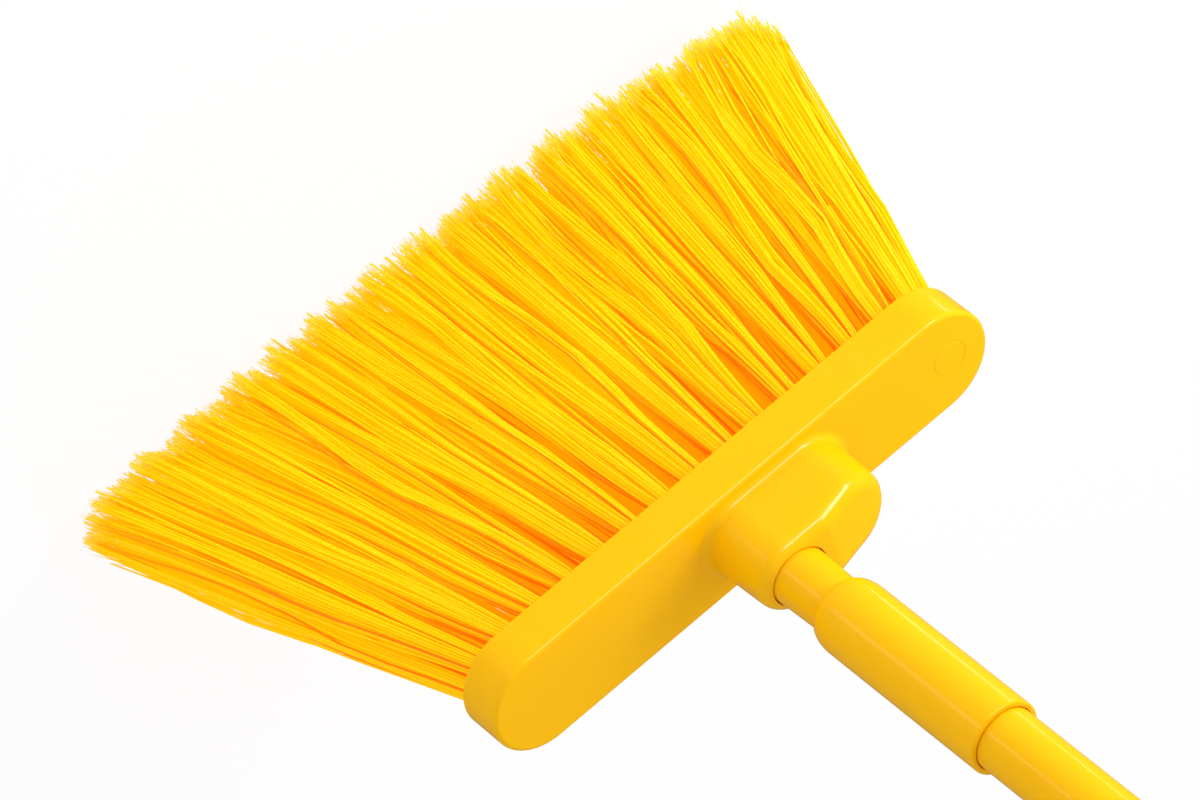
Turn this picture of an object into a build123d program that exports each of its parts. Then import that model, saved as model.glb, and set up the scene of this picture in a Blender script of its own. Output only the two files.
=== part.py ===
from build123d import *

import math
import os

os.makedirs("parts", exist_ok=True)

# Driving dimensions, in millimetres and degrees

# Moulded block that carries the bristles
BLOCK_LENGTH = 236.4
BLOCK_WIDTH = 45.0
BLOCK_HEIGHT = 19.2
BLOCK_TOP_ROUND = 1.8
BLOCK_BOTTOM_ROUND = 0.6

# Boss on top of the block, round at both ends, with a sloped top on its far half
BOSS_RADIUS = 17.0
BOSS_LENGTH = 64.0
BOSS_HEIGHT = 32.6
BOSS_DRAFT = 1.6
BOSS_TOP_ROUND = 6.0
BOSS_FOOT_ROUND = 3.4
FACET_START = -17.0
FACET_SLOPE = 13.5
FACET_BLEND = 8.0

# Plain ring marks that the mould leaves near the two ends of the block: where and how deep
RING_MARKS = ((-100.5, 0.2), (100.5, 0.08))
RING_RADIUS = 7.3
RING_LINE = 0.8

# Bristle tufts: two straight outer rows, a staggered middle row and three round each end
ROW_PITCH = 15.1
ROW_OFFSET = 13.5
OUTER_ROW_COUNT = 13
MIDDLE_ROW_COUNT = 12
END_RING_RADIUS = 12.5
END_ANGLES = (-55.0, 0.0, 55.0)
HOLE_RADIUS = 5.0
HOLE_DEPTH = 13.0
PLUG_CLEARANCE = 0.1

# Flat wire anchor that holds each tuft in its hole
ANCHOR_LENGTH = 10.8
ANCHOR_THICKNESS = 0.6
ANCHOR_HEIGHT = 2.2
ANCHOR_FROM_HOLE_END = 2.4

# Strands of a tuft, which fan out from the hole to the cut ends
STRAND_ROWS = ((-2.4, 3), (0.0, 4), (2.4, 3))
STRAND_SPACING = 2.1
STRAND_ROOT_SIDE = 1.3
STRAND_TIP_SIDE = 2.7
STRAND_ROOT_DEPTH = 1.5
FAN_FLARE = 1.44
TUFT_SPREAD_LONG = 2.6
TUFT_SPREAD_ACROSS = 1.4
TRIM_MIDDLE = 169.0
TRIM_SKEW = 0.06
TRIM_BULGE = 4.5

# Socket, thread and seat washer that join the handle to the block
THREAD_PITCH = 5.08
THREAD_TOP_RADIUS = 9.45
THREAD_CORE_RADIUS = 6.95
THREAD_FLANK = 14.5
THREAD_TURNS = 4.25
THREAD_RELIEF = 2.2
THREAD_SIDE_GAP = 0.2
THREAD_END_GAP = 0.25
THREAD_ROOT_LAP = 0.3
GROOVE_LEAD_TURNS = 0.25
GROOVE_RUN_OUT_TURNS = 0.75
STUB_LENGTH = 26.0
STUB_CHAMFER = 1.0
COUNTERBORE_RADIUS = 12.45
COUNTERBORE_DEPTH = 4.6
SEAT_GAP = 0.15
WASHER_THICKNESS = 1.0
WASHER_RADIUS = 11.8
WASHER_BORE_RADIUS = 9.85
SOCKET_SPARE = 2.6

# Moulded tip of the handle: neck, shoulder and sleeve
NECK_FOOT_RADIUS = 11.95
NECK_TOP_RADIUS = 11.3
NECK_SHOWING = 22.0
NECK_CHAMFER = 0.6
SHOULDER_LENGTH = 9.5
SLEEVE_RADIUS = 15.1
SLEEVE_SHOWING = 91.0
SLEEVE_LIP_ROUND = 0.9
SLEEVE_MOUTH_GAP = 0.4
SLEEVE_MOUTH_DEPTH = 3.0
TUBE_SEAT_ABOVE_SHOULDER = 2.0

# Handle tube and the hanging cap in its far end
TUBE_RADIUS = 12.7
TUBE_BORE_RADIUS = 10.2
TUBE_FIT_GAP = 0.05
TUBE_END_STEP = 0.3
HANDLE_LENGTH = 1219.2
CAP_RADIUS = 12.3
CAP_COLLAR = 9.0
CAP_HEIGHT = 36.0
CAP_TONGUE = 12.0
CAP_DOME_ROUND = 9.0
CAP_EDGE_ROUND = 1.0
CAP_PLUG_LENGTH = 28.0
CAP_GAP = 0.1
HANG_HOLE_RADIUS = 5.5
HANG_HOLE_FROM_TOP = 13.5

# How near an edge lies to a plane that it is chosen by
NEAR = 0.01

# Places worked out from the driving dimensions
END_CENTRE = (BLOCK_LENGTH - BLOCK_WIDTH) / 2
END_TUFT_X = END_CENTRE + END_RING_RADIUS
WIDEST_STRAND = STRAND_SPACING * (max(count for _, count in STRAND_ROWS) - 1) / 2
TIP_REACH = END_TUFT_X * FAN_FLARE + WIDEST_STRAND * TUFT_SPREAD_LONG
BLOCK_BOTTOM = TRIM_MIDDLE + TRIM_SKEW * TIP_REACH
BLOCK_TOP = BLOCK_BOTTOM + BLOCK_HEIGHT
BOSS_TOP = BLOCK_TOP + BOSS_HEIGHT
BOSS_CENTRE = BOSS_RADIUS - BOSS_LENGTH / 2
SEAT = BOSS_TOP - COUNTERBORE_DEPTH
WASHER_BOTTOM = SEAT + SEAT_GAP
NECK_BOTTOM = WASHER_BOTTOM + WASHER_THICKNESS + SEAT_GAP
STUB_BOTTOM = NECK_BOTTOM - STUB_LENGTH
THREAD_TOP = NECK_BOTTOM - THREAD_RELIEF
THREAD_BOTTOM = THREAD_TOP - THREAD_TURNS * THREAD_PITCH
SHOULDER_START = BOSS_TOP + NECK_SHOWING
SHOULDER_END = SHOULDER_START + SHOULDER_LENGTH
SLEEVE_TOP = SHOULDER_START + SLEEVE_SHOWING
SLEEVE_BORE_RADIUS = TUBE_RADIUS - TUBE_END_STEP + TUBE_FIT_GAP
SLEEVE_MOUTH_RADIUS = TUBE_RADIUS + SLEEVE_MOUTH_GAP
TUBE_SEAT = SHOULDER_END + TUBE_SEAT_ABOVE_SHOULDER
CAP_TOP = STUB_BOTTOM + HANDLE_LENGTH
TUBE_TOP = CAP_TOP - CAP_HEIGHT
ANCHOR_BOTTOM = BLOCK_BOTTOM + HOLE_DEPTH - ANCHOR_FROM_HOLE_END - ANCHOR_HEIGHT


def row_places(count, y):
    """Give the tuft places of one straight row, centred on the block."""
    return [((i - (count - 1) / 2) * ROW_PITCH, y) for i in range(count)]


def end_places(side):
    """Give the tuft places round one end of the block."""
    places = []
    for angle in END_ANGLES:
        x = END_CENTRE + END_RING_RADIUS * math.cos(math.radians(angle))
        places.append((side * x, END_RING_RADIUS * math.sin(math.radians(angle))))
    return places


TUFT_ROWS = {
    "front": row_places(OUTER_ROW_COUNT, -ROW_OFFSET),
    "middle": row_places(MIDDLE_ROW_COUNT, 0.0),
    "back": row_places(OUTER_ROW_COUNT, ROW_OFFSET),
    "end": end_places(-1) + end_places(1),
}
TUFT_PLACES = [place for places in TUFT_ROWS.values() for place in places]


def strand_offsets():
    """Give the places of a tuft's strands about the middle of its hole."""
    offsets = []
    for y, count in STRAND_ROWS:
        for i in range(count):
            offsets.append(((i - (count - 1) / 2) * STRAND_SPACING, y))
    return offsets


def thread_ridge(inner, outer, extra_width, bottom, top):
    """Sweep a trapezoid ridge along the thread's helix, in step with the thread's own turns."""
    turn = 360.0 * (bottom - THREAD_BOTTOM) / THREAD_PITCH
    pitch_line = (THREAD_CORE_RADIUS + THREAD_TOP_RADIUS) / 2
    slope = math.tan(math.radians(THREAD_FLANK))
    half_inner = THREAD_PITCH / 4 + extra_width + (pitch_line - inner) * slope
    half_outer = THREAD_PITCH / 4 + extra_width + (pitch_line - outer) * slope
    with BuildPart() as ridge:
        with BuildLine():
            path = Helix(THREAD_PITCH, top - bottom, pitch_line)
        with BuildSketch(Plane.XZ):
            with BuildLine():
                Polyline(
                    (inner, -half_inner),
                    (outer, -half_outer),
                    (outer, half_outer),
                    (inner, half_inner),
                    close=True,
                )
            make_face()
        sweep(path=path, is_frenet=True)
    return Location((0, 0, bottom), (0, 0, turn)) * ridge.part


# Ridges of the handle's thread and of the groove that takes it
male_ridge = thread_ridge(
    THREAD_CORE_RADIUS - THREAD_ROOT_LAP, THREAD_TOP_RADIUS, 0.0, THREAD_BOTTOM, THREAD_TOP
)
groove_ridge = thread_ridge(
    THREAD_CORE_RADIUS - THREAD_ROOT_LAP,
    THREAD_TOP_RADIUS + THREAD_END_GAP,
    THREAD_SIDE_GAP,
    THREAD_BOTTOM - GROOVE_LEAD_TURNS * THREAD_PITCH,
    SEAT + GROOVE_RUN_OUT_TURNS * THREAD_PITCH,
)

# Hollow of the socket: bore, thread groove and counterbore as one solid to cut away
with BuildPart() as socket_hollow:
    with BuildSketch(Plane.XY.offset(STUB_BOTTOM - SOCKET_SPARE)):
        Circle(THREAD_CORE_RADIUS + THREAD_END_GAP)
    extrude(amount=SEAT - STUB_BOTTOM + SOCKET_SPARE + 2 * THREAD_PITCH)
    add(groove_ridge)
    with BuildSketch(Plane.XY.offset(SEAT)):
        Circle(COUNTERBORE_RADIUS)
    extrude(amount=BOSS_HEIGHT)

# Moulded block with its boss, threaded socket, tuft holes and anchor pockets
with BuildPart() as broom_block:
    with BuildSketch(Plane.XY.offset(BLOCK_BOTTOM)):
        SlotOverall(BLOCK_LENGTH, BLOCK_WIDTH)
    extrude(amount=BLOCK_HEIGHT)
    fillet(broom_block.faces().sort_by(Axis.Z)[-1].edges(), radius=BLOCK_TOP_ROUND)
    fillet(broom_block.faces().sort_by(Axis.Z)[0].edges(), radius=BLOCK_BOTTOM_ROUND)

    with BuildSketch(Plane.XY.offset(BLOCK_TOP)):
        with Locations((BOSS_CENTRE, 0)):
            SlotOverall(BOSS_LENGTH, 2 * BOSS_RADIUS)
    extrude(amount=BOSS_HEIGHT, taper=BOSS_DRAFT)

    # The flat top and the facet that slopes away from it, as one side profile
    facet_end = -BLOCK_LENGTH
    facet_low = BOSS_TOP - (FACET_START - facet_end) * math.tan(math.radians(FACET_SLOPE))
    with BuildSketch(Plane.XZ) as side_profile:
        with BuildLine():
            Polyline(
                (facet_end, 0),
                (BLOCK_LENGTH, 0),
                (BLOCK_LENGTH, BOSS_TOP),
                (FACET_START, BOSS_TOP),
                (facet_end, facet_low),
                close=True,
            )
        make_face()
        kink = side_profile.vertices().sort_by_distance((FACET_START, BOSS_TOP))[0]
        fillet(kink, radius=FACET_BLEND)
    extrude(amount=BLOCK_WIDTH, both=True, mode=Mode.INTERSECT)

    rim = broom_block.edges().filter_by(lambda e: e.center().Z > BLOCK_TOP + BOSS_HEIGHT / 2)
    rim = rim.filter_by(lambda e: e.bounding_box().size.X > BOSS_TOP_ROUND)
    rim = rim.filter_by(lambda e: e.bounding_box().size.Z < BOSS_HEIGHT / 2)
    fillet(rim, radius=BOSS_TOP_ROUND)
    foot = broom_block.edges().filter_by_position(Axis.Z, BLOCK_TOP - NEAR, BLOCK_TOP + NEAR)
    foot = foot.filter_by(lambda e: abs(e.center().Y) <= BOSS_RADIUS + NEAR)
    foot = foot.filter_by(lambda e: abs(e.center().X) <= BOSS_LENGTH)
    fillet(foot, radius=BOSS_FOOT_ROUND)

    # Socket for the handle's neck and thread
    add(socket_hollow.part, mode=Mode.SUBTRACT)

    # Holes for the tufts, with a pocket in each for its anchor's ends
    with BuildSketch(Plane.XY.offset(BLOCK_BOTTOM)):
        with Locations(*TUFT_PLACES):
            Circle(HOLE_RADIUS)
    extrude(amount=HOLE_DEPTH, mode=Mode.SUBTRACT)
    with BuildSketch(Plane.XY.offset(ANCHOR_BOTTOM)):
        with Locations(*TUFT_PLACES):
            Rectangle(ANCHOR_LENGTH, ANCHOR_THICKNESS)
    extrude(amount=ANCHOR_HEIGHT, mode=Mode.SUBTRACT)

    # Ring marks, as shallow round-bottomed grooves
    for ring_x, ring_depth in RING_MARKS:
        groove_radius = ((RING_LINE / 2) ** 2 + ring_depth**2) / (2 * ring_depth)
        with Locations((ring_x, 0, BLOCK_TOP - ring_depth + groove_radius)):
            Torus(RING_RADIUS, groove_radius, mode=Mode.SUBTRACT)

broom_block.part.label = "broom_block"
export_step(broom_block.part, "parts/broom_block.step")

# Flat wire anchors, one across each tuft hole
with BuildPart() as tuft_anchors:
    with BuildSketch(Plane.XY.offset(ANCHOR_BOTTOM)):
        with Locations(*TUFT_PLACES):
            Rectangle(ANCHOR_LENGTH, ANCHOR_THICKNESS)
    extrude(amount=ANCHOR_HEIGHT)

tuft_anchors.part.label = "tuft_anchors"
export_step(tuft_anchors.part, "parts/tuft_anchors.step")

# Bristle tufts: strands that fan out from the plug of bristle folded into each hole
for row_name, places in TUFT_ROWS.items():
    for number, (tuft_x, tuft_y) in enumerate(places, start=1):
        tuft_name = f"tuft_{row_name}_{number:02d}"
        with BuildPart() as tuft:
            strands = []
            for dx, dy in strand_offsets():
                root = (tuft_x + dx, tuft_y + dy)
                tip_x = tuft_x * FAN_FLARE + dx * TUFT_SPREAD_LONG
                tip_y = tuft_y + dy * TUFT_SPREAD_ACROSS
                tip_z = TRIM_SKEW * (TIP_REACH - tip_x) - TRIM_BULGE * (1 - (tip_x / TIP_REACH) ** 2)
                with BuildSketch(Plane.XY.offset(tip_z)):
                    with Locations((tip_x, tip_y)):
                        Rectangle(STRAND_TIP_SIDE, STRAND_TIP_SIDE)
                with BuildSketch(Plane.XY.offset(BLOCK_BOTTOM + STRAND_ROOT_DEPTH)):
                    with Locations(root):
                        Rectangle(STRAND_ROOT_SIDE, STRAND_ROOT_SIDE)
                strands.append(loft(ruled=True, mode=Mode.PRIVATE))
            with BuildSketch(Plane.XY.offset(BLOCK_BOTTOM)):
                with Locations((tuft_x, tuft_y)):
                    Circle(HOLE_RADIUS - PLUG_CLEARANCE)
            extrude(amount=HOLE_DEPTH)
            with BuildSketch(Plane.XY.offset(ANCHOR_BOTTOM)):
                with Locations((tuft_x, tuft_y)):
                    Rectangle(ANCHOR_LENGTH, ANCHOR_THICKNESS)
            extrude(amount=ANCHOR_HEIGHT, mode=Mode.SUBTRACT)
            add(strands)

        tuft.part.label = tuft_name
        export_step(tuft.part, f"parts/{tuft_name}.step")

# Moulded handle tip: threaded stub, neck, rounded shoulder and the sleeve over the tube
with BuildPart() as threaded_tip:
    with BuildSketch(Plane.XZ):
        with BuildLine():
            Polyline(
                (0, STUB_BOTTOM),
                (THREAD_CORE_RADIUS - STUB_CHAMFER, STUB_BOTTOM),
                (THREAD_CORE_RADIUS, STUB_BOTTOM + STUB_CHAMFER),
                (THREAD_CORE_RADIUS, NECK_BOTTOM),
                (NECK_FOOT_RADIUS - NECK_CHAMFER, NECK_BOTTOM),
                (NECK_FOOT_RADIUS, NECK_BOTTOM + NECK_CHAMFER),
                (NECK_TOP_RADIUS, SHOULDER_START),
            )
            EllipticalCenterArc(
                (NECK_TOP_RADIUS, SHOULDER_END),
                SLEEVE_RADIUS - NECK_TOP_RADIUS,
                SHOULDER_LENGTH,
                start_angle=-90,
                arc_size=90,
            )
            Line((SLEEVE_RADIUS, SHOULDER_END), (SLEEVE_RADIUS, SLEEVE_TOP - SLEEVE_LIP_ROUND))
            TangentArc(
                (SLEEVE_RADIUS, SLEEVE_TOP - SLEEVE_LIP_ROUND),
                (SLEEVE_RADIUS - SLEEVE_LIP_ROUND, SLEEVE_TOP),
                tangent=(0, 1),
            )
            Polyline(
                (SLEEVE_RADIUS - SLEEVE_LIP_ROUND, SLEEVE_TOP),
                (SLEEVE_MOUTH_RADIUS, SLEEVE_TOP),
                (SLEEVE_MOUTH_RADIUS, SLEEVE_TOP - SLEEVE_MOUTH_DEPTH),
                (SLEEVE_BORE_RADIUS, SLEEVE_TOP - SLEEVE_MOUTH_DEPTH),
                (SLEEVE_BORE_RADIUS, TUBE_SEAT),
                (0, TUBE_SEAT),
                (0, STUB_BOTTOM),
            )
        make_face()
    revolve(axis=Axis.Z)
    add(male_ridge)

threaded_tip.part.label = "threaded_tip"
export_step(threaded_tip.part, "parts/threaded_tip.step")

# Flat washer on the socket's seat, under the neck
with BuildPart() as seat_washer:
    with BuildSketch(Plane.XY.offset(WASHER_BOTTOM)):
        Circle(WASHER_RADIUS)
        Circle(WASHER_BORE_RADIUS, mode=Mode.SUBTRACT)
    extrude(amount=WASHER_THICKNESS)

seat_washer.part.label = "seat_washer"
export_step(seat_washer.part, "parts/seat_washer.step")

# Handle tube, a hair thinner where the sleeve holds it
with BuildPart() as handle_tube:
    with BuildSketch(Plane.XY.offset(TUBE_SEAT + CAP_GAP)):
        Circle(TUBE_RADIUS - TUBE_END_STEP)
    extrude(amount=SLEEVE_TOP - TUBE_SEAT - CAP_GAP)
    with BuildSketch(Plane.XY.offset(SLEEVE_TOP)):
        Circle(TUBE_RADIUS)
    extrude(amount=TUBE_TOP - SLEEVE_TOP)
    with BuildSketch(Plane.XY.offset(TUBE_SEAT)):
        Circle(TUBE_BORE_RADIUS)
    extrude(amount=TUBE_TOP - TUBE_SEAT, mode=Mode.SUBTRACT)

handle_tube.part.label = "handle_tube"
export_step(handle_tube.part, "parts/handle_tube.step")

# Cap in the tube's far end, with a flat tongue and a hole to hang the broom by
with BuildPart() as hang_cap:
    with BuildSketch(Plane.XY.offset(TUBE_TOP + CAP_GAP)):
        Circle(CAP_RADIUS)
    extrude(amount=CAP_HEIGHT - CAP_GAP)
    fillet(hang_cap.faces().sort_by(Axis.Z)[-1].edges(), radius=CAP_DOME_ROUND)
    for side in (-1, 1):
        with BuildSketch(Plane.XZ.offset(side * CAP_TONGUE / 2)):
            with Locations((0, TUBE_TOP + CAP_COLLAR + CAP_HEIGHT)):
                Rectangle(4 * CAP_RADIUS, 2 * CAP_HEIGHT)
        extrude(amount=side * CAP_RADIUS, mode=Mode.SUBTRACT)
    tongue_edges = hang_cap.faces().filter_by(Axis.Y).edges()
    tongue_edges = tongue_edges.filter_by(lambda e: e.center().Z > TUBE_TOP + CAP_COLLAR + CAP_EDGE_ROUND)
    fillet(tongue_edges, radius=CAP_EDGE_ROUND)
    with BuildSketch(Plane.XZ):
        with Locations((0, CAP_TOP - HANG_HOLE_FROM_TOP)):
            Circle(HANG_HOLE_RADIUS)
    extrude(amount=2 * CAP_RADIUS, both=True, mode=Mode.SUBTRACT)
    with BuildSketch(Plane.XY.offset(TUBE_TOP - CAP_PLUG_LENGTH)):
        Circle(TUBE_BORE_RADIUS - TUBE_FIT_GAP)
    extrude(amount=CAP_PLUG_LENGTH + CAP_GAP)

hang_cap.part.label = "hang_cap"
export_step(hang_cap.part, "parts/hang_cap.step")
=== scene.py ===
"""Looks of a yellow angle broom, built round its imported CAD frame.

The moulded head, the handle and the small hardware keep their CAD shapes and get procedural finishes.
Each bristle tuft is grown as separate filaments with split ends, in place of its CAD solid.
"""

from __future__ import annotations

import logging
import math
from dataclasses import dataclass, field
from enum import Enum

import bpy
import numpy as np
from mathutils import Matrix, Vector

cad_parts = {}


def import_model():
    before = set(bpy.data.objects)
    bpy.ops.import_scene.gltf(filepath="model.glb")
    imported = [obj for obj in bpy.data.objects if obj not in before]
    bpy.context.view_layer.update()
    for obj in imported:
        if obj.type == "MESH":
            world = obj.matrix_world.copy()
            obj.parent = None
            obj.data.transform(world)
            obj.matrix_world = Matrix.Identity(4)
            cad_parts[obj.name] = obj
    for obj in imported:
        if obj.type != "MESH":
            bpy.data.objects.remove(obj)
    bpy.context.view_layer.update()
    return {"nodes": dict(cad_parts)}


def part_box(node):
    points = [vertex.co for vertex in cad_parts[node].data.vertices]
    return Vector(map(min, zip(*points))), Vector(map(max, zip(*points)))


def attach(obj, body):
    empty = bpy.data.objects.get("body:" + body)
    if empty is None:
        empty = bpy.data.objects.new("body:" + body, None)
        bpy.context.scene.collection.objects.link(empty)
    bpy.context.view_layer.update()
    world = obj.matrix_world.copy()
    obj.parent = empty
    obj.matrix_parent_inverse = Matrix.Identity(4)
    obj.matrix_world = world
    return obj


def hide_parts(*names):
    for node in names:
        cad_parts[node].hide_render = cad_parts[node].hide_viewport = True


LOG = logging.getLogger("angle_broom")
HEAD_BODY = "head"
MILLIMETRE = 0.001
PLUG_BAND = 1 * MILLIMETRE
END_BAND = 3 * MILLIMETRE
FULL_TURN = 2 * math.pi
GOLDEN_ANGLE = math.pi * (3 - math.sqrt(5))

Colour = tuple[float, float, float, float]
Span = tuple[float, float]
Socket = bpy.types.NodeSocket

WHOLE: Span = (0.0, 1.0)


class Row(Enum):
    """Rows in which the tufts stand in the block."""

    FRONT = "front"
    MIDDLE = "middle"
    BACK = "back"
    END = "end"


class LampUse(Enum):
    """What a lamp is for: light on every surface, or gleams on glossy ones."""

    SOFT = "soft"
    GLEAM = "gleam"


class Graph:
    """Adds and links nodes in one shader node tree."""

    def __init__(self, tree: bpy.types.NodeTree) -> None:
        """Take the tree to work on.

        Args:
            tree: Node tree of a material, a world or a node group.
        """
        self.tree = tree

    def add(
        self, kind: str, values: dict[str | int, object] | None = None, **settings: object
    ) -> bpy.types.Node:
        """Add a node.

        Args:
            kind: Type of the node.
            values: Default values of its inputs, by name or number.
            **settings: Properties of the node itself.

        Returns:
            The new node.
        """
        node = self.tree.nodes.new(kind)
        for name, value in settings.items():
            setattr(node, name, value)
        for key, value in (values or {}).items():
            node.inputs[key].default_value = value
        return node

    def link(self, source: Socket, target: Socket) -> None:
        """Link an output socket to an input socket."""
        self.tree.links.new(source, target)

    def mapped(self, source: Socket, from_span: Span, to_span: Span) -> Socket:
        """Map a value from one span to another, smoothly and clamped.

        Args:
            source: Value to map.
            from_span: Lowest and highest value that count.
            to_span: What they become.

        Returns:
            The mapped value's socket.
        """
        values = {1: from_span[0], 2: from_span[1], 3: to_span[0], 4: to_span[1]}
        node = self.add("ShaderNodeMapRange", values, interpolation_type="SMOOTHSTEP")
        self.link(source, node.inputs[0])
        return node.outputs[0]

    def product(self, first: Socket, second: Socket | float) -> Socket:
        """Multiply a value by another value or by a number.

        Args:
            first: Value to multiply.
            second: Value or number to multiply it by.

        Returns:
            The product's socket.
        """
        node = self.add("ShaderNodeMath", operation="MULTIPLY")
        self.link(first, node.inputs[0])
        if isinstance(second, Socket):
            self.link(second, node.inputs[1])
        else:
            node.inputs[1].default_value = second
        return node.outputs[0]

    def total(self, first: Socket, second: Socket) -> Socket:
        """Add two values and give the sum's socket."""
        node = self.add("ShaderNodeMath", operation="ADD")
        self.link(first, node.inputs[0])
        self.link(second, node.inputs[1])
        return node.outputs[0]

    def mixed(
        self, share: Socket, first: Socket | Colour, second: Socket | Colour, blend: str = "MIX"
    ) -> Socket:
        """Mix two colours.

        Args:
            share: Share of the second colour.
            first: Colour, or the socket that gives it.
            second: Colour, or the socket that gives it.
            blend: How the second is laid on the first.

        Returns:
            The mixed colour's socket.
        """
        node = self.add("ShaderNodeMix", data_type="RGBA", blend_type=blend)
        self.link(share, node.inputs["Factor"])
        colour_inputs = [socket for socket in node.inputs if socket.type == "RGBA"]
        for socket, colour in zip(colour_inputs, (first, second)):
            if isinstance(colour, Socket):
                self.link(colour, socket)
            else:
                socket.default_value = colour
        return next(socket for socket in node.outputs if socket.type == "RGBA")


class ShaderGroups:
    """Node groups that several finishes share, each built once."""

    FLOW_NOISE = {"Detail": 3.0, "Roughness": 0.45, "Distortion": 0.6}
    FLOW_SPAN: Span = (0.35, 0.72)
    CLOUD_NOISE = {"Scale": 46.0, "Detail": 5.0, "Roughness": 0.6}
    CLOUD_SPAN: Span = (0.3, 0.7)
    GRAIN_NOISE = {"Detail": 2.0, "Roughness": 0.5}
    STREAK_NOISE = {"Scale": 1.0, "Detail": 4.0, "Roughness": 0.55}
    STREAK_SPAN: Span = (0.58, 0.70)
    PATCH_NOISE = {"Scale": 23.0, "Detail": 2.0}
    PATCH_SPAN: Span = (0.50, 0.66)

    def __init__(self) -> None:
        """Start with no group built."""
        self._built: dict[str, bpy.types.NodeTree] = {}

    def _open(
        self, name: str, inputs: dict[str, str], outputs: dict[str, str]
    ) -> tuple[Graph, bpy.types.Node, bpy.types.Node]:
        """Make an empty group with named sockets.

        Args:
            name: Name of the group.
            inputs: Socket type by input name.
            outputs: Socket type by output name.

        Returns:
            The group's graph and its input and output nodes.
        """
        tree = bpy.data.node_groups.new(name, "ShaderNodeTree")
        for label, kind in inputs.items():
            tree.interface.new_socket(label, in_out="INPUT", socket_type=kind)
        for label, kind in outputs.items():
            tree.interface.new_socket(label, in_out="OUTPUT", socket_type=kind)
        self._built[name] = tree
        graph = Graph(tree)
        return graph, graph.add("NodeGroupInput"), graph.add("NodeGroupOutput")

    def moulded_skin(self) -> bpy.types.NodeTree:
        """Give the skin of an injection moulding: flow tone, uneven gloss and a fine grain.

        Returns:
            A group with Colour, Roughness and Height outputs.
        """
        name = "moulded_skin"
        if name in self._built:
            return self._built[name]
        number = "NodeSocketFloat"
        inputs = {
            "Colour": "NodeSocketColor",
            "Shade": "NodeSocketColor",
            "Flow Scale": number,
            "Grain Scale": number,
            "Roughness Low": number,
            "Roughness High": number,
        }
        outputs = {"Colour": "NodeSocketColor", "Roughness": number, "Height": number}
        graph, given, result = self._open(name, inputs, outputs)
        place = graph.add("ShaderNodeTexCoord").outputs["Object"]

        flow = graph.add("ShaderNodeTexNoise", self.FLOW_NOISE)
        graph.link(place, flow.inputs["Vector"])
        graph.link(given.outputs["Flow Scale"], flow.inputs["Scale"])
        share = graph.mapped(flow.outputs["Fac"], self.FLOW_SPAN, WHOLE)
        toned = graph.mixed(share, given.outputs["Colour"], given.outputs["Shade"])
        graph.link(toned, result.inputs["Colour"])

        cloud = graph.add("ShaderNodeTexNoise", self.CLOUD_NOISE)
        graph.link(place, cloud.inputs["Vector"])
        gloss = graph.add("ShaderNodeMapRange", {1: self.CLOUD_SPAN[0], 2: self.CLOUD_SPAN[1]})
        graph.link(cloud.outputs["Fac"], gloss.inputs[0])
        graph.link(given.outputs["Roughness Low"], gloss.inputs[3])
        graph.link(given.outputs["Roughness High"], gloss.inputs[4])
        graph.link(gloss.outputs[0], result.inputs["Roughness"])

        grain = graph.add("ShaderNodeTexNoise", self.GRAIN_NOISE)
        graph.link(place, grain.inputs["Vector"])
        graph.link(given.outputs["Grain Scale"], grain.inputs["Scale"])
        graph.link(grain.outputs["Fac"], result.inputs["Height"])
        return self._built[name]

    def handling_marks(self) -> bpy.types.NodeTree:
        """Give the faint rubbed streaks that handling and packing leave.

        Returns:
            A group with a Mask output, 1 in a streak.
        """
        name = "handling_marks"
        if name in self._built:
            return self._built[name]
        number = "NodeSocketFloat"
        inputs = {"Across": number, "Along": number, "Amount": number}
        graph, given, result = self._open(name, inputs, {"Mask": number})
        place = graph.add("ShaderNodeTexCoord").outputs["Object"]
        stretch = graph.add("ShaderNodeCombineXYZ")
        graph.link(given.outputs["Across"], stretch.inputs["X"])
        graph.link(given.outputs["Across"], stretch.inputs["Y"])
        graph.link(given.outputs["Along"], stretch.inputs["Z"])
        drawn = graph.add("ShaderNodeVectorMath", operation="MULTIPLY")
        graph.link(place, drawn.inputs[0])
        graph.link(stretch.outputs[0], drawn.inputs[1])
        streak = graph.add("ShaderNodeTexNoise", self.STREAK_NOISE)
        graph.link(drawn.outputs[0], streak.inputs["Vector"])
        patch = graph.add("ShaderNodeTexNoise", self.PATCH_NOISE)
        graph.link(place, patch.inputs["Vector"])
        mask = graph.product(
            graph.mapped(streak.outputs["Fac"], self.STREAK_SPAN, WHOLE),
            graph.mapped(patch.outputs["Fac"], self.PATCH_SPAN, WHOLE),
        )
        graph.link(graph.product(mask, given.outputs["Amount"]), result.inputs["Mask"])
        return self._built[name]


def new_material(name: str) -> tuple[bpy.types.Material, Graph, bpy.types.Node]:
    """Make a material with one Principled shader.

    Args:
        name: Name of the material.

    Returns:
        The material, its graph and its Principled shader.
    """
    material = bpy.data.materials.new(name)
    material.use_nodes = True
    material.node_tree.nodes.clear()
    graph = Graph(material.node_tree)
    shader = graph.add("ShaderNodeBsdfPrincipled")
    output = graph.add("ShaderNodeOutputMaterial")
    graph.link(shader.outputs[0], output.inputs["Surface"])
    return material, graph, shader


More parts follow.
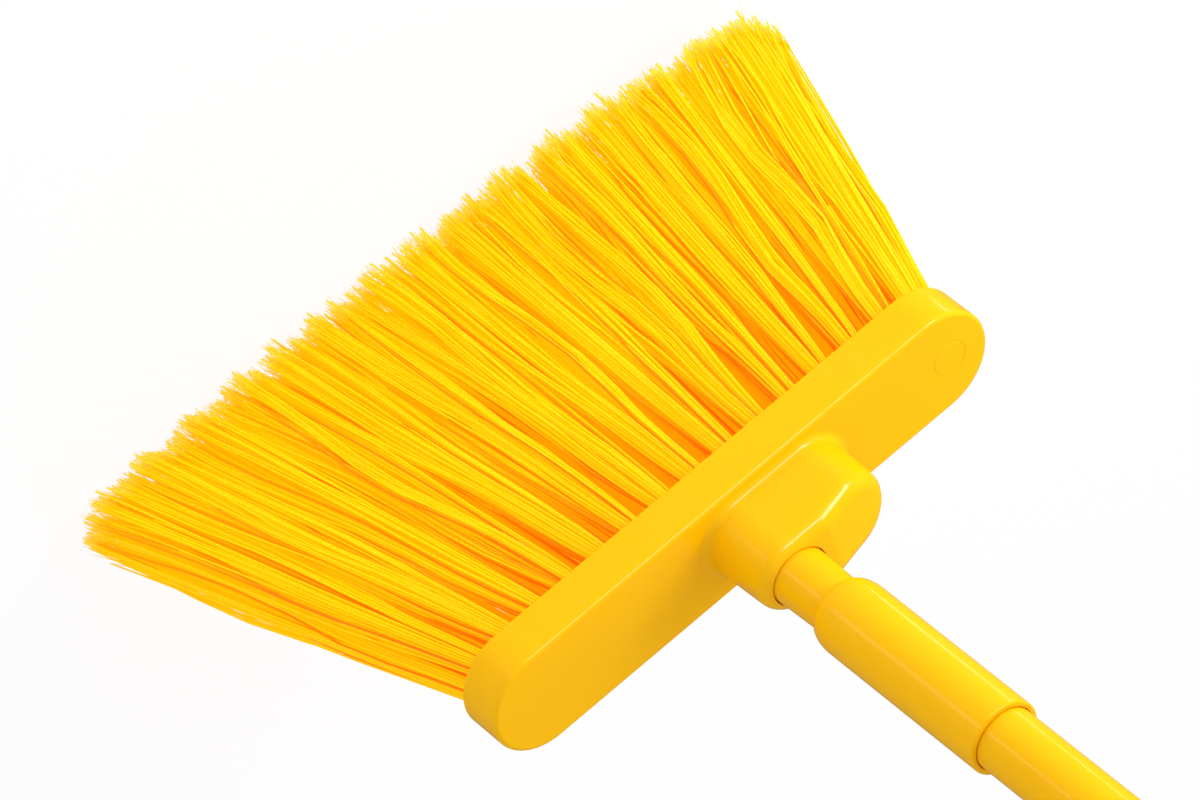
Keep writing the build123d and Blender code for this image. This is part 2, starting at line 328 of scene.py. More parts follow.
@dataclass(frozen=True)
class MouldedFinish:
    """Satin-gloss skin of a moulded or coated plastic piece."""

    name: str
    colour: Colour = (1.0, 0.53, 0.002, 1.0)
    shade: Colour = (0.98, 0.505, 0.002, 1.0)
    rubbed: Colour = (1.0, 0.57, 0.01, 1.0)
    gloss: float = 0.20
    roughness: Span = (0.14, 0.20)
    flow_scale: float = 9.0
    grain_scale: float = 1100.0
    grain_depth: float = 0.02 * MILLIMETRE
    grain_strength: float = 0.35
    mark_across: float = 260.0
    mark_along: float = 18.0
    mark_amount: float = 0.35
    mark_roughness: float = 0.14

    def material(self, groups: ShaderGroups) -> bpy.types.Material:
        """Build the material.

        Args:
            groups: Shared node groups.

        Returns:
            The finished material.
        """
        material, graph, shader = new_material(self.name)
        skin = graph.add("ShaderNodeGroup", node_tree=groups.moulded_skin())
        for label, value in {
            "Colour": self.colour,
            "Shade": self.shade,
            "Flow Scale": self.flow_scale,
            "Grain Scale": self.grain_scale,
            "Roughness Low": self.roughness[0],
            "Roughness High": self.roughness[1],
        }.items():
            skin.inputs[label].default_value = value
        marks = graph.add("ShaderNodeGroup", node_tree=groups.handling_marks())
        for label, value in {
            "Across": self.mark_across,
            "Along": self.mark_along,
            "Amount": self.mark_amount,
        }.items():
            marks.inputs[label].default_value = value
        mask = marks.outputs["Mask"]
        graph.link(graph.mixed(mask, skin.outputs["Colour"], self.rubbed), shader.inputs["Base Color"])
        dulled = graph.total(skin.outputs["Roughness"], graph.product(mask, self.mark_roughness))
        graph.link(dulled, shader.inputs["Roughness"])
        bump = graph.add("ShaderNodeBump", {"Strength": self.grain_strength, "Distance": self.grain_depth})
        graph.link(skin.outputs["Height"], bump.inputs["Height"])
        graph.link(bump.outputs["Normal"], shader.inputs["Normal"])
        shader.inputs["Specular IOR Level"].default_value = self.gloss
        return material


@dataclass(frozen=True)
class BristleFinish:
    """Extruded plastic filament, paler at its split end, with painted shade where it stands deep among
    other filaments and a painted glow for light that passes through it.
    """

    name: str = "bristle_filament"
    body: Colour = (1.0, 0.535, 0.0, 1.0)
    painted_shade: Colour = (1.0, 0.09, 0.0, 1.0)
    end: Colour = (1.0, 0.78, 0.08, 1.0)
    dim: Colour = (0.99, 0.96, 0.90, 1.0)
    painted_glow: Colour = (0.38, 0.222, 0.0, 1.0)
    painted_glow_shaded: Colour = (0.14, 0.0, 0.0, 1.0)
    painted_glow_end: Colour = (0.32, 0.21, 0.015, 1.0)
    end_starts: float = 0.955
    roughness: Span = (0.34, 0.46)
    gloss: float = 0.10

    def material(self) -> bpy.types.Material:
        """Build the material from the filaments' own attributes.

        Returns:
            The finished material.
        """
        material, graph, shader = new_material(self.name)
        along = graph.add("ShaderNodeAttribute", attribute_name="along").outputs["Fac"]
        tone = graph.add("ShaderNodeAttribute", attribute_name="tone").outputs["Fac"]
        painted_shade_share = graph.add("ShaderNodeAttribute", attribute_name="painted_shade_share").outputs["Fac"]
        # Painted shade: filaments deep among others, beside gaps and at partings, are given a darker
        # orange colour.
        colour = graph.mixed(painted_shade_share, self.body, self.painted_shade)
        ends = graph.mapped(along, (self.end_starts, 1.0), WHOLE)
        colour = graph.mixed(ends, colour, self.end)
        colour = graph.mixed(tone, colour, self.dim, "MULTIPLY")
        graph.link(colour, shader.inputs["Base Color"])
        graph.link(graph.mapped(tone, WHOLE, self.roughness), shader.inputs["Roughness"])
        # Painted glow: an orange emission, weaker where shaded and paler at the ends, stands in for light
        # that passes through the translucent filaments.
        glow = graph.mixed(painted_shade_share, self.painted_glow, self.painted_glow_shaded)
        graph.link(graph.mixed(ends, glow, self.painted_glow_end), shader.inputs["Emission Color"])
        shader.inputs["Emission Strength"].default_value = 1.0
        shader.inputs["Specular IOR Level"].default_value = self.gloss
        return material


@dataclass(frozen=True)
class WireFinish:
    """Drawn steel wire of the anchors."""

    name: str = "anchor_steel"
    bright: Colour = (0.62, 0.62, 0.60, 1.0)
    dull: Colour = (0.40, 0.39, 0.37, 1.0)
    roughness: Span = (0.25, 0.45)
    drawn_scale: float = 900.0
    drawn_detail: float = 3.0
    drawn_span: Span = (0.35, 0.65)

    def material(self) -> bpy.types.Material:
        """Build the material.

        Returns:
            The finished material.
        """
        material, graph, shader = new_material(self.name)
        place = graph.add("ShaderNodeTexCoord").outputs["Object"]
        streak = graph.add("ShaderNodeTexNoise", {"Scale": self.drawn_scale, "Detail": self.drawn_detail})
        graph.link(place, streak.inputs["Vector"])
        share = graph.mapped(streak.outputs["Fac"], self.drawn_span, WHOLE)
        graph.link(graph.mixed(share, self.bright, self.dull), shader.inputs["Base Color"])
        graph.link(graph.mapped(share, WHOLE, self.roughness), shader.inputs["Roughness"])
        shader.inputs["Metallic"].default_value = 1.0
        return material


def dress_node(node: bpy.types.Object, material: bpy.types.Material) -> None:
    """Give a CAD node one material in all its slots.

    Args:
        node: The node's object.
        material: Finish to show.
    """
    node.data.materials.clear()
    node.data.materials.append(material)
    LOG.info("dressed %s with %s", node.name, material.name)


@dataclass
class MouldedHead:
    """Block with its boss and socket, and the wire anchors in its tuft holes."""

    nodes: dict[str, bpy.types.Object]
    groups: ShaderGroups
    block_finish: MouldedFinish = MouldedFinish("block_moulding")
    wire_finish: WireFinish = WireFinish()

    def dress(self) -> None:
        """Give the block and the anchors their finishes."""
        dress_node(self.nodes["broom_block"], self.block_finish.material(self.groups))
        dress_node(self.nodes["tuft_anchors"], self.wire_finish.material())


@dataclass
class Handle:
    """Threaded tip, tube and hanging cap, and the washer under the tip's neck."""

    nodes: dict[str, bpy.types.Object]
    groups: ShaderGroups
    tip_finish: MouldedFinish = MouldedFinish("tip_moulding")
    tube_finish: MouldedFinish = MouldedFinish(
        "tube_skin",
        roughness=(0.13, 0.19),
        grain_scale=600.0,
        mark_along=6.0,
    )
    cap_finish: MouldedFinish = MouldedFinish(
        "cap_moulding",
        shade=(0.97, 0.50, 0.002, 1.0),
        roughness=(0.26, 0.36),
    )
    washer_finish: MouldedFinish = MouldedFinish(
        "washer_moulding",
        colour=(0.85, 0.52, 0.01, 1.0),
        shade=(0.78, 0.46, 0.01, 1.0),
        rubbed=(0.88, 0.58, 0.05, 1.0),
        roughness=(0.40, 0.50),
    )

    def dress(self) -> None:
        """Give each piece of the handle its finish."""
        for node, finish in {
            "threaded_tip": self.tip_finish,
            "handle_tube": self.tube_finish,
            "hang_cap": self.cap_finish,
            "seat_washer": self.washer_finish,
        }.items():
            dress_node(self.nodes[node], finish.material(self.groups))


@dataclass(frozen=True)
class TuftPlace:
    """Where one tuft leaves the block and where its cut ends lie, read from its CAD solid."""

    node: str
    root: np.ndarray
    root_radius: float
    tip: np.ndarray
    tip_half: np.ndarray

    @classmethod
    def read(cls, node: bpy.types.Object, block_face: float) -> TuftPlace:
        """Read a tuft's place from its solid.

        Args:
            node: The tuft's CAD object.
            block_face: Height of the block's underside.

        Returns:
            The tuft's place.
        """
        points = np.empty(len(node.data.vertices) * 3)
        node.data.vertices.foreach_get("co", points)
        points = points.reshape(-1, 3)
        lowest, highest = points[:, 2].min(), points[:, 2].max()
        plug = points[points[:, 2] > highest - PLUG_BAND]
        ends = points[points[:, 2] < lowest + END_BAND]
        middle = (plug.max(0) + plug.min(0)) / 2
        return cls(
            node=node.name,
            root=np.array([middle[0], middle[1], block_face]),
            root_radius=float(plug[:, 0].max() - plug[:, 0].min()) / 2,
            tip=(ends.max(0) + ends.min(0)) / 2,
            tip_half=(ends.max(0) - ends.min(0))[:2] / 2,
        )


class TubeMesh:
    """Collects thin round strands and turns them into one mesh."""

    def __init__(self) -> None:
        """Start with no strand."""
        self._points: list[np.ndarray] = []
        self._faces: list[tuple[int, ...]] = []
        self._values: dict[str, list[np.ndarray]] = {"along": [], "tone": [], "painted_shade_share": []}
        self._corners: list[np.ndarray] = []
        self._count = 0

    def add(
        self,
        paths: np.ndarray,
        radii: np.ndarray,
        turns: np.ndarray,
        sides: int,
        values: dict[str, np.ndarray],
        lanes: np.ndarray,
    ) -> None:
        """Add strands that all have the same number of rings.

        Args:
            paths: Centre lines, strand by ring by coordinate, from the block downwards.
            radii: Radius of each ring, strand by ring.
            turns: Angle at which each strand's first side starts.
            sides: Sides of a strand.
            values: Attribute values, strand by ring, by attribute name.
            lanes: Lower and upper edge of each strand's lane in the bake map.
        """
        strands, rings = radii.shape
        angles = turns[:, None] + np.arange(sides) * (FULL_TURN / sides)
        circle = np.stack([np.cos(angles), np.sin(angles), np.zeros_like(angles)], axis=-1)
        points = paths[:, :, None, :] + radii[:, :, None, None] * circle[:, None, :, :]
        self._points.append(points.reshape(-1, 3))
        for name, store in self._values.items():
            store.append(np.repeat(values[name].reshape(-1), sides))
        around = np.abs(2 * np.arange(sides + 1) / sides - 1)
        for strand in range(strands):
            first = self._count + strand * rings * sides
            low, high = lanes[strand]
            lane = low + (high - low) * (1 - around)
            reach = values["along"][strand]
            for ring in range(rings - 1):
                top = first + ring * sides
                for side in range(sides):
                    after = (side + 1) % sides
                    self._faces.append((top + side, top + sides + side, top + sides + after, top + after))
                    self._corners.append(
                        np.array(
                            [
                                (reach[ring], lane[side]),
                                (reach[ring + 1], lane[side]),
                                (reach[ring + 1], lane[side + 1]),
                                (reach[ring], lane[side + 1]),
                            ]
                        )
                    )
            last = first + (rings - 1) * sides
            self._faces.append(tuple(first + side for side in range(sides)))
            self._corners.append(np.stack([np.full(sides, reach[0]), lane[:sides]], axis=1))
            self._faces.append(tuple(last + side for side in reversed(range(sides))))
            self._corners.append(np.stack([np.full(sides, reach[-1]), lane[:sides][::-1]], axis=1))
        self._count += strands * rings * sides

    def build(self, name: str) -> bpy.types.Object:
        """Make the object.

        Args:
            name: Name of the object and its mesh.

        Returns:
            The object, linked to the scene.
        """
        mesh = bpy.data.meshes.new(name)
        mesh.from_pydata(np.concatenate(self._points), [], self._faces, shade_flat=False)
        for label, store in self._values.items():
            attribute = mesh.attributes.new(label, "FLOAT", "POINT")
            attribute.data.foreach_set("value", np.concatenate(store).astype(np.float32))
        bake_map = mesh.uv_layers.new(name="OFBake")
        bake_map.uv.foreach_set("vector", np.concatenate(self._corners).astype(np.float32).ravel())
        mesh.update()
        made = bpy.data.objects.new(name, mesh)
        bpy.context.scene.collection.objects.link(made)
        return made


@dataclass
class BristleFan:
    """All the tufts of the broom, each grown as loose filaments with split ends."""

    nodes: dict[str, bpy.types.Object]
    finish: BristleFinish = BristleFinish()
    seed: int = 41
    filaments: int = 96
    sides: int = 5
    filament_radius: float = 0.46 * MILLIMETRE
    end_radius: float = 0.24 * MILLIMETRE
    thin_from: float = 0.88
    hidden_depth: float = 1.5 * MILLIMETRE
    root_scatter: float = 0.08 * MILLIMETRE
    spread: Span = (1.35, 1.60)
    opening: float = 0.70
    clumps: int = 6
    clump_disc: float = 0.9
    clumping: float = 0.35
    scatter: Span = (1.1 * MILLIMETRE, 0.8 * MILLIMETRE)
    sway: float = 0.55 * MILLIMETRE
    sway_waves: Span = (0.8, 2.0)
    clump_sway: float = 1.1 * MILLIMETRE
    clump_waves: Span = (0.7, 1.5)
    sway_starts: float = 0.35
    sway_ease: float = 1.5
    dome: float = 5.0 * MILLIMETRE
    raggedness: float = 1.1 * MILLIMETRE
    fullness: float = 3.5 * MILLIMETRE
    fullness_place: float = -0.35
    fullness_width: float = 0.55
    # Painted shade: where and how strongly filaments are darkened in colour inside the fan, near the
    # block, on tuft sides facing gaps and at clump partings.
    inside: Span = (0.0, 8.0 * MILLIMETRE)
    end_inside: Span = (98.0 * MILLIMETRE, 106.0 * MILLIMETRE)
    inside_shade: float = 0.23
    root_shade: float = 0.12
    root_fade: float = 0.30
    side_shade: float = 0.85
    side_edge: Span = (0.82, 0.90)
    side_fade: float = 0.60
    parting_shade: float = 0.80
    parting_edge: Span = (0.84, 0.92)
    parting_fade: float = 0.40
    stray_share: float = 0.05
    stray_reach: float = 8.0 * MILLIMETRE
    floor_gap: float = 0.4 * MILLIMETRE
    split_ends: int = 3
    split_sides: int = 3
    split_starts: Span = (0.90, 0.95)
    split_radius: float = 0.20 * MILLIMETRE
    split_steps: tuple[float, ...] = (0.0, 0.5, 1.0)
    split_taper: tuple[float, ...] = (1.0, 0.9, 0.6)
    split_spread: float = 1.0 * MILLIMETRE
    split_ease: float = 1.3
    lane_share: Span = (0.05, 0.95)
    rings: tuple[float, ...] = (0.0, 0.05, 0.12, 0.22, 0.34, 0.48, 0.62, 0.76, 0.88, 0.95, 1.0)
    made: list[bpy.types.Object] = field(default_factory=list)
    cut_line: np.ndarray = field(init=False)
    reach: float = field(init=False)

    def build(self) -> None:
        """Grow every tuft in place of its CAD solid."""
        block_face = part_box("broom_block")[0].z
        places = [
            TuftPlace.read(node, block_face)
            for name, node in sorted(self.nodes.items())
            if name.startswith("tuft_") and name.split("_")[1] in {row.value for row in Row}
        ]
        middles = np.array([place.tip for place in places])
        self.cut_line = np.polyfit(middles[:, 0], middles[:, 2], 2)
        self.reach = max(abs(place.tip[0]) + place.tip_half[0] for place in places)
        for index, place in enumerate(places):
            tuft = self._grow(place, np.random.default_rng([self.seed, index]))
            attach(tuft, HEAD_BODY)
            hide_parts(place.node)
            self.made.append(tuft)
            LOG.info("grew %s in place of %s", tuft.name, place.node)

    def dress(self) -> None:
        """Give all tufts the filament finish."""
        material = self.finish.material()
        for tuft in self.made:
            tuft.data.materials.append(material)

    def _grow(self, place: TuftPlace, rng: np.random.Generator) -> bpy.types.Object:
        """Grow one tuft.

        Args:
            place: Where the tuft stands.
            rng: The tuft's own random numbers.

        Returns:
            The tuft's object.
        """
        along = np.array(self.rings)
        disc = self._disc(self.filaments, rng)
        centres = self._disc(self.clumps, rng) * self.clump_disc
        reach = np.hypot(*(disc[:, None] - centres[None]).T).T
        clump = np.argmin(reach, axis=1)
        roots = self._roots(place, disc, rng)
        tips, stray = self._tips(place, disc, centres[clump], rng)
        paths = self._paths(roots, tips, clump, along, rng)

        shape = (self.filaments, len(along))
        thin = np.interp(along, (self.thin_from, 1.0), WHOLE)
        radii = self.filament_radius + (self.end_radius - self.filament_radius) * thin
        radii = np.repeat(radii[None], self.filaments, axis=0)
        radii[stray] = self.filament_radius
        tone = rng.random(self.filaments)
        # Painted shade share of each filament, ring by ring.
        painted_shade_share = self._painted_shade_shares(roots, disc, np.sort(reach, axis=1), along)
        values = {
            "along": np.broadcast_to(along, shape),
            "tone": np.broadcast_to(tone[:, None], shape),
            "painted_shade_share": painted_shade_share,
        }
        strands = self.filaments * (1 + self.split_ends)
        edges = (np.arange(strands)[:, None] + np.array(self.lane_share)) / strands
        mesh = TubeMesh()
        turns = rng.random(self.filaments) * FULL_TURN
        mesh.add(paths, radii, turns, self.sides, values, edges[: self.filaments])
        self._split(mesh, paths, along, tone, edges[self.filaments:], rng)
        return mesh.build(place.node.replace("tuft", "bristles"))

    def _painted_shade_shares(
        self, roots: np.ndarray, disc: np.ndarray, reach: np.ndarray, along: np.ndarray
    ) -> np.ndarray:
        """Give each filament its share of painted shade from how deep among its neighbours it stands.

        Args:
            roots: Upper ends, filament by coordinate.
            disc: Places in the unit disc.
            reach: Distances to the clumps' middles in the unit disc, nearest first.
            along: Shares of the length at which the rings stand.

        Returns:
            Share of painted shade: 0 in the open and towards 1 beside a gap, at a parting or inside the
                fan, filament by ring.
        """
        # Painted shade inside the fan, near the block, on tuft sides facing the gaps and at clump
        # partings, where real shade falls.
        across = np.interp(np.abs(roots[:, 1]), self.inside, WHOLE)
        endways = np.interp(np.abs(roots[:, 0]), self.end_inside, WHOLE)
        hidden = self.inside_shade * (1 - np.maximum(across, endways))
        side = np.interp(np.abs(disc[:, 0]), self.side_edge, (0.0, self.side_shade)) * (1 - endways)
        parted = np.interp(reach[:, 0] / reach[:, 1], self.parting_edge, (0.0, self.parting_shade))
        shades = (
            hidden[:, None] + self.root_shade * np.clip(1 - along / self.root_fade, 0, 1),
            side[:, None] * np.clip(1 - along / self.side_fade, 0, 1),
            parted[:, None] * (1 - self.parting_fade * along),
        )
        return np.maximum.reduce(shades)

    @staticmethod
    def _disc(count: int, rng: np.random.Generator) -> np.ndarray:
        """Spread points evenly over the unit disc.

        Args:
            count: Number of points.
            rng: Random numbers.

        Returns:
            Their places, count by 2.
        """
        step = np.arange(count) + 0.5
        reach = np.sqrt(step / count)
        angle = step * GOLDEN_ANGLE + rng.random() * FULL_TURN
        return np.stack([reach * np.cos(angle), reach * np.sin(angle)], axis=1)

    def _roots(self, place: TuftPlace, disc: np.ndarray, rng: np.random.Generator) -> np.ndarray:
        """Place the filaments' upper ends just inside the hole.

        Args:
            place: Where the tuft stands.
            disc: Places in the unit disc.
            rng: Random numbers.

        Returns:
            Upper ends, filament by coordinate.
        """
        reach = place.root_radius - self.filament_radius
        roots = np.repeat(place.root[None], len(disc), axis=0)
        roots[:, :2] += disc * reach + rng.normal(0, self.root_scatter, disc.shape)
        roots[:, 2] += self.hidden_depth
        return roots

    def _tips(
        self, place: TuftPlace, disc: np.ndarray, centres: np.ndarray, rng: np.random.Generator
    ) -> tuple[np.ndarray, np.ndarray]:
        """Place the filaments' lower ends on the slanted, slightly domed cut.

        Args:
            place: Where the tuft stands.
            disc: Places in the unit disc.
            centres: Middle of each filament's clump in the unit disc.
            rng: Random numbers.

        Returns:
            Lower ends, filament by coordinate, and which filaments stray.
        """
        gathered = disc * (1 - self.clumping) + centres * self.clumping
        tips = np.repeat(place.tip[None], len(disc), axis=0)
        offset = gathered * place.tip_half * np.array(self.spread)
        outward = offset[:, 0] * place.tip[0] > 0
        room = (self.reach - abs(place.tip[0])) / (place.tip_half[0] * self.spread[0])
        offset[outward, 0] *= min(1.0, room)
        tips[:, :2] += offset
        tips[:, :2] += rng.normal(0, 1, disc.shape) * np.array(self.scatter)
        cut = np.polyval(self.cut_line, tips[:, 0])
        swell = (tips[:, 0] / self.reach - self.fullness_place) / self.fullness_width
        cut -= self.fullness * np.exp(-(swell**2))
        stray = rng.random(len(disc)) < self.stray_share
        rise = self.dome * (disc**2).sum(1) + rng.normal(0, self.raggedness, len(disc))
        rise[stray] -= rng.random(stray.sum()) * self.stray_reach
        tips[:, 2] = np.maximum(cut + rise, self.floor_gap)
        return tips, stray

    def _paths(
        self,
        roots: np.ndarray,
        tips: np.ndarray,
        clump: np.ndarray,
        along: np.ndarray,
        rng: np.random.Generator,
    ) -> np.ndarray:
        """Lead each filament from its upper to its lower end with a slight sway.

        Args:
            roots: Upper ends.
            tips: Lower ends.
            clump: Clump of each filament.
            along: Shares of the length at which the rings stand.
            rng: Random numbers.

        Returns:
            Centre lines, filament by ring by coordinate.
        """
        count = len(roots)
        root_middle, tip_middle = roots.mean(0), tips.mean(0)
        axis = root_middle + (tip_middle - root_middle) * along[:, None]
        opened = (along**self.opening)[None, :, None]
        offset = (roots - root_middle)[:, None] * (1 - opened) + (tips - tip_middle)[:, None] * opened
        paths = axis[None] + offset
        paths[:, :, 2] = roots[:, None, 2] + (tips - roots)[:, None, 2] * along

        waves = rng.uniform(*self.clump_waves, (self.clumps, 2))
        phases = rng.random((self.clumps, 2)) * FULL_TURN
        heights = rng.normal(0, self.clump_sway, (self.clumps, 2))
        own_waves = rng.uniform(*self.sway_waves, (count, 2))
        own_phases = rng.random((count, 2)) * FULL_TURN
        own_heights = rng.normal(0, self.sway, (count, 2))
        rise = (np.clip(along / self.sway_starts, 0, 1) ** self.sway_ease)[None, :, None]
        turn = FULL_TURN * along[None, :, None]
        shared = heights[clump][:, None] * np.sin(waves[clump][:, None] * turn + phases[clump][:, None])
        alone = own_heights[:, None] * np.sin(own_waves[:, None] * turn + own_phases[:, None])
        paths[:, :, :2] += (shared + alone) * rise
        return paths

    def _split(
        self,
        mesh: TubeMesh,
        paths: np.ndarray,
        along: np.ndarray,
        tone: np.ndarray,
        lanes: np.ndarray,
        rng: np.random.Generator,
    ) -> None:
        """Add the fine fibres into which the filaments' ends are split.

        Args:
            mesh: Mesh that takes them.
            paths: Centre lines of the filaments.
            along: Shares of the length at which their rings stand.
            tone: Tone of each filament.
            lanes: Lanes of the fibres in the bake map.
            rng: Random numbers.
        """
        owner = np.repeat(np.arange(len(paths)), self.split_ends)
        starts = rng.uniform(*self.split_starts, len(owner))
        steps = np.array(self.split_steps)
        reach = starts[:, None] + (1 - starts[:, None]) * steps
        place = np.empty((len(owner), len(steps), 3))
        for axis in range(3):
            for fibre, filament in enumerate(owner):
                place[fibre, :, axis] = np.interp(reach[fibre], along, paths[filament, :, axis])
        lean = rng.normal(0, self.split_spread, (len(owner), 2))
        place[:, :, :2] += lean[:, None] * (steps**self.split_ease)[None, :, None]
        place[:, :, 2] += rng.normal(0, self.raggedness, len(owner))[:, None] * steps
        place[:, :, 2] = np.maximum(place[:, :, 2], self.floor_gap)
        radii = np.repeat((self.split_radius * np.array(self.split_taper))[None], len(owner), axis=0)
        values = {
            "along": reach,
            "tone": np.repeat(tone[owner][:, None], len(steps), axis=1),
            "painted_shade_share": np.zeros_like(reach),
        }
        turns = rng.random(len(owner)) * FULL_TURN
        mesh.add(place, radii, turns, self.split_sides, values, lanes)


@dataclass(frozen=True)
class Lamp:
    """A soft box that faces the broom's head."""

    name: str
    direction: tuple[float, float, float]
    distance: float
    size: Span
    power: float
    use: LampUse = LampUse.SOFT


@dataclass(frozen=True)
class FloorStrip:
    """A narrow strip light that lies on the floor and shows only as a gleam along the handle."""

    name: str
    heading: float
    run: Span
    width: float
    power: float
    height: float = 0.03


@dataclass
class Studio:
    """Camera, lamps, floor and surroundings."""

    azimuth: float = 18.676
    elevation: float = 38.449
    roll: float = 128.424
    distance: float = 3.01025
    focal_length: float = 250.22
    sensor: float = 36.0
    view_reach: float = 60.0
    aim_right: float = -39.995 * MILLIMETRE
    aim_up: float = 37.873 * MILLIMETRE
    lamps: tuple[Lamp, ...] = (
        Lamp("key_lamp", (-0.78, -0.50, 0.38), 1.2, (0.5, 0.4), 5.2),
        Lamp("side_lamp", (-0.85, -0.15, 0.50), 0.7, (0.4, 0.3), 1.85),
        Lamp("low_lamp", (-0.25, -0.95, 0.05), 1.0, (0.8, 0.25), 1.2),
        Lamp("edge_gleam", (-0.24, -0.82, 0.46), 1.2, (0.46, 0.22), 5.6, LampUse.GLEAM),
        Lamp("facet_gleam", (-0.58, -0.68, 0.45), 1.2, (0.30, 0.55), 10.5, LampUse.GLEAM),
    )
    lamp_target: tuple[float, float, float] = (0.0, 0.0, 0.2)
    strips: tuple[FloorStrip, ...] = (
        FloorStrip("upper_gleam", 188.0, (0.325, 0.95), 0.025, 0.30),
        FloorStrip("lower_gleam", -54.0, (0.30, 0.95), 0.06, 0.24),
    )
    floor_size: float = 12.0
    floor_colour: Colour = (0.92, 0.92, 0.92, 1.0)
    floor_white: float = 0.9
    ambient: Colour = (1.0, 1.0, 1.0, 1.0)
    ambient_level: float = 0.785
    gloss_level: float = 0.14
    light_bounces: int = 16

    def build(self) -> None:
        """Set the view and build everything round the broom."""
        bpy.context.scene.view_settings.view_transform = "Standard"
        bpy.context.scene.cycles.max_bounces = self.light_bounces
        bpy.context.scene.cycles.diffuse_bounces = self.light_bounces
        self._camera()
        for lamp in self.lamps:
            self._lamp(lamp)
        for strip in self.strips:
            self._strip(strip)
        self._floor()
        self._world()

    def _camera(self) -> None:
        """Stand the camera where the photograph was taken from."""
        turn, lift, roll = (math.radians(a) for a in (self.azimuth, self.elevation, self.roll))
        back = Vector((math.cos(lift) * math.sin(turn), -math.cos(lift) * math.cos(turn), math.sin(lift)))
        level = Vector((math.cos(turn), math.sin(turn), 0.0))
        above = back.cross(level)
        right = level * math.cos(roll) + above * math.sin(roll)
        up = back.cross(right)
        lowest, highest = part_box("broom_block")
        middle = (lowest + highest) / 2
        aim = Vector((middle.x, middle.y, lowest.z)) + right * self.aim_right + up * self.aim_up
        data = bpy.data.cameras.new("photo_camera")
        data.lens = self.focal_length
        data.sensor_fit = "HORIZONTAL"
        data.sensor_width = self.sensor
        data.clip_end = self.view_reach
        camera = bpy.data.objects.new("photo_camera", data)
        axes = Matrix((right, up, back)).transposed()
        camera.matrix_world = Matrix.Translation(aim + back * self.distance) @ axes.to_4x4()
        bpy.context.scene.collection.objects.link(camera)
        bpy.context.scene.camera = camera

    def _lamp(self, lamp: Lamp) -> None:
        """Hang one soft box.

        Args:
            lamp: What to hang.
        """
        data = bpy.data.lights.new(lamp.name, "AREA")
        data.shape = "RECTANGLE"
        data.size, data.size_y = lamp.size
        data.energy = lamp.power
        shown = bpy.data.objects.new(lamp.name, data)
        toward = Vector(lamp.direction).normalized()
        shown.location = Vector(self.lamp_target) + toward * lamp.distance
        shown.rotation_euler = toward.to_track_quat("Z", "Y").to_euler()
        shown.visible_diffuse = lamp.use is LampUse.SOFT
        shown.visible_glossy = lamp.use is LampUse.GLEAM
        bpy.context.scene.collection.objects.link(shown)

    @staticmethod
    def _strip(strip: FloorStrip) -> None:
        """Lay one strip light, facing up.

        Args:
            strip: What to lay.
        """
        data = bpy.data.lights.new(strip.name, "AREA")
        data.shape = "RECTANGLE"
        data.size, data.size_y = strip.run[1] - strip.run[0], strip.width
        data.energy = strip.power
        laid = bpy.data.objects.new(strip.name, data)
        turn = math.radians(strip.heading)
        middle = sum(strip.run) / 2
        laid.location = (middle * math.cos(turn), middle * math.sin(turn), strip.height)
        laid.rotation_euler = (math.pi, 0.0, turn)
        laid.visible_diffuse = False
        laid.visible_camera = False
        bpy.context.scene.collection.objects.link(laid)

    @staticmethod
    def _blend(graph: Graph, share: Socket, first: Socket, second: Socket) -> Socket:
        """Mix two shaders.

        Args:
            graph: Graph of the material or world.
            share: Share of the second shader.
            first: First shader.
            second: Second shader.

        Returns:
            The mixed shader's socket.
        """
        mix = graph.add("ShaderNodeMixShader")
        for source, target in zip((share, first, second), mix.inputs):
            graph.link(source, target)
        return mix.outputs[0]

    def _floor(self) -> None:
        """Lay the pale floor, which looks white, keeps a soft shadow and is dim in a gloss."""
        half = self.floor_size / 2
        mesh = bpy.data.meshes.new("floor")
        corners = [(-half, -half, 0), (half, -half, 0), (half, half, 0), (-half, half, 0)]
        mesh.from_pydata(corners, [], [(0, 1, 2, 3)])
        floor = bpy.data.objects.new("floor", mesh)
        bpy.context.scene.collection.objects.link(floor)
        material = bpy.data.materials.new("studio_floor")
        material.use_nodes = True
        material.node_tree.nodes.clear()
        graph = Graph(material.node_tree)
        path = graph.add("ShaderNodeLightPath")
        matt = graph.add("ShaderNodeBsdfDiffuse", {"Color": self.floor_colour})
        white = graph.add("ShaderNodeEmission", {"Strength": 1.0})
        dark = graph.add("ShaderNodeEmission", {"Strength": self.gloss_level})
        share = graph.product(path.outputs["Is Camera Ray"], self.floor_white)
        shown = self._blend(graph, share, matt.outputs[0], white.outputs[0])
        shown = self._blend(graph, path.outputs["Is Glossy Ray"], shown, dark.outputs[0])
        output = graph.add("ShaderNodeOutputMaterial")
        graph.link(shown, output.inputs["Surface"])
        mesh.materials.append(material)

    def _world(self) -> None:
        """Surround the broom with even soft light and a white background that is dim in a gloss."""
        world = bpy.data.worlds.new("studio_world")
        bpy.context.scene.world = world
        world.use_nodes = True
        world.node_tree.nodes.clear()
        graph = Graph(world.node_tree)
        path = graph.add("ShaderNodeLightPath")
        soft, white, dark = (
            graph.add("ShaderNodeBackground", {"Color": self.ambient, "Strength": level})
            for level in (self.ambient_level, 1.0, self.gloss_level)
        )
        shown = self._blend(graph, path.outputs["Is Camera Ray"], soft.outputs[0], white.outputs[0])
        shown = self._blend(graph, path.outputs["Is Glossy Ray"], shown, dark.outputs[0])
        output = graph.add("ShaderNodeOutputWorld")
        graph.link(shown, output.inputs["Surface"])


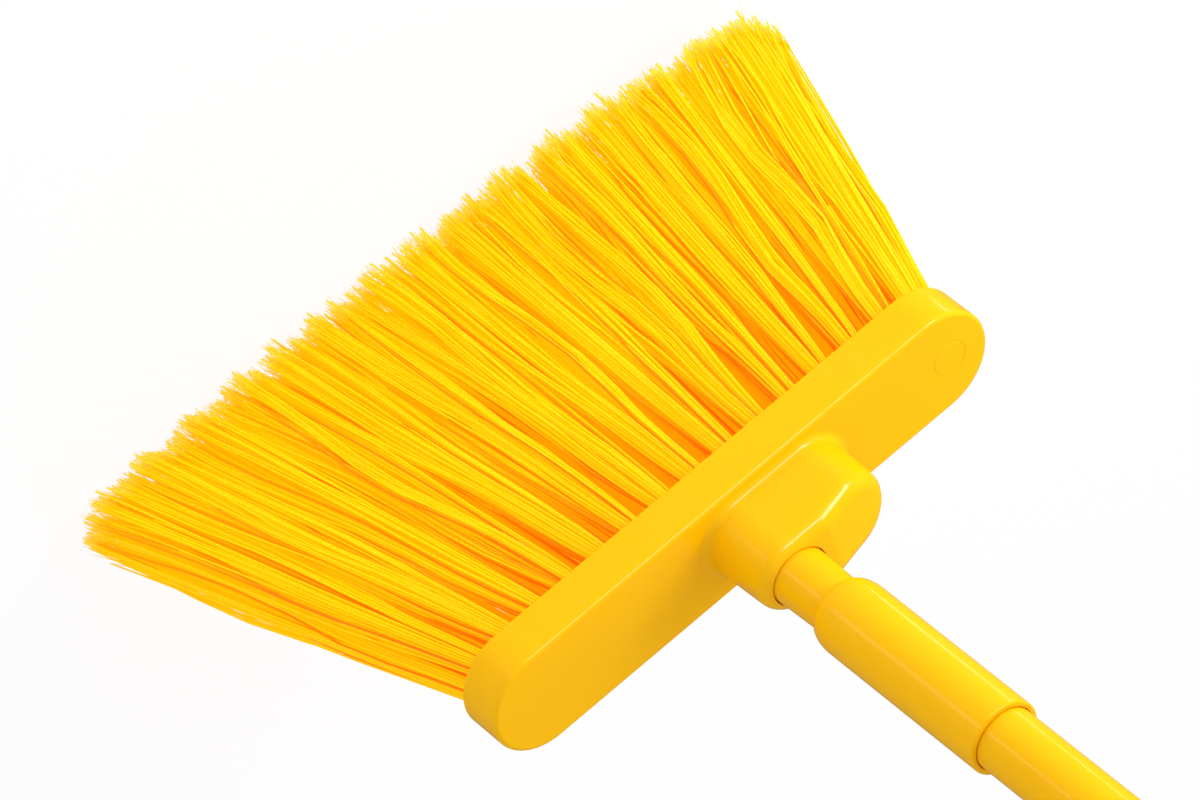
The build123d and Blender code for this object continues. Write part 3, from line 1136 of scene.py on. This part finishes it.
def main() -> None:
    """Load the frame, build and dress the broom, and set the studio round it."""
    logging.basicConfig(level=logging.INFO, format="%(message)s")
    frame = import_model()
    nodes = frame["nodes"]
    groups = ShaderGroups()

    Studio().build()
    fan = BristleFan(nodes)
    fan.build()
    fan.dress()
    MouldedHead(nodes, groups).dress()
    Handle(nodes, groups).dress()


if __name__ == "__main__":
    main()
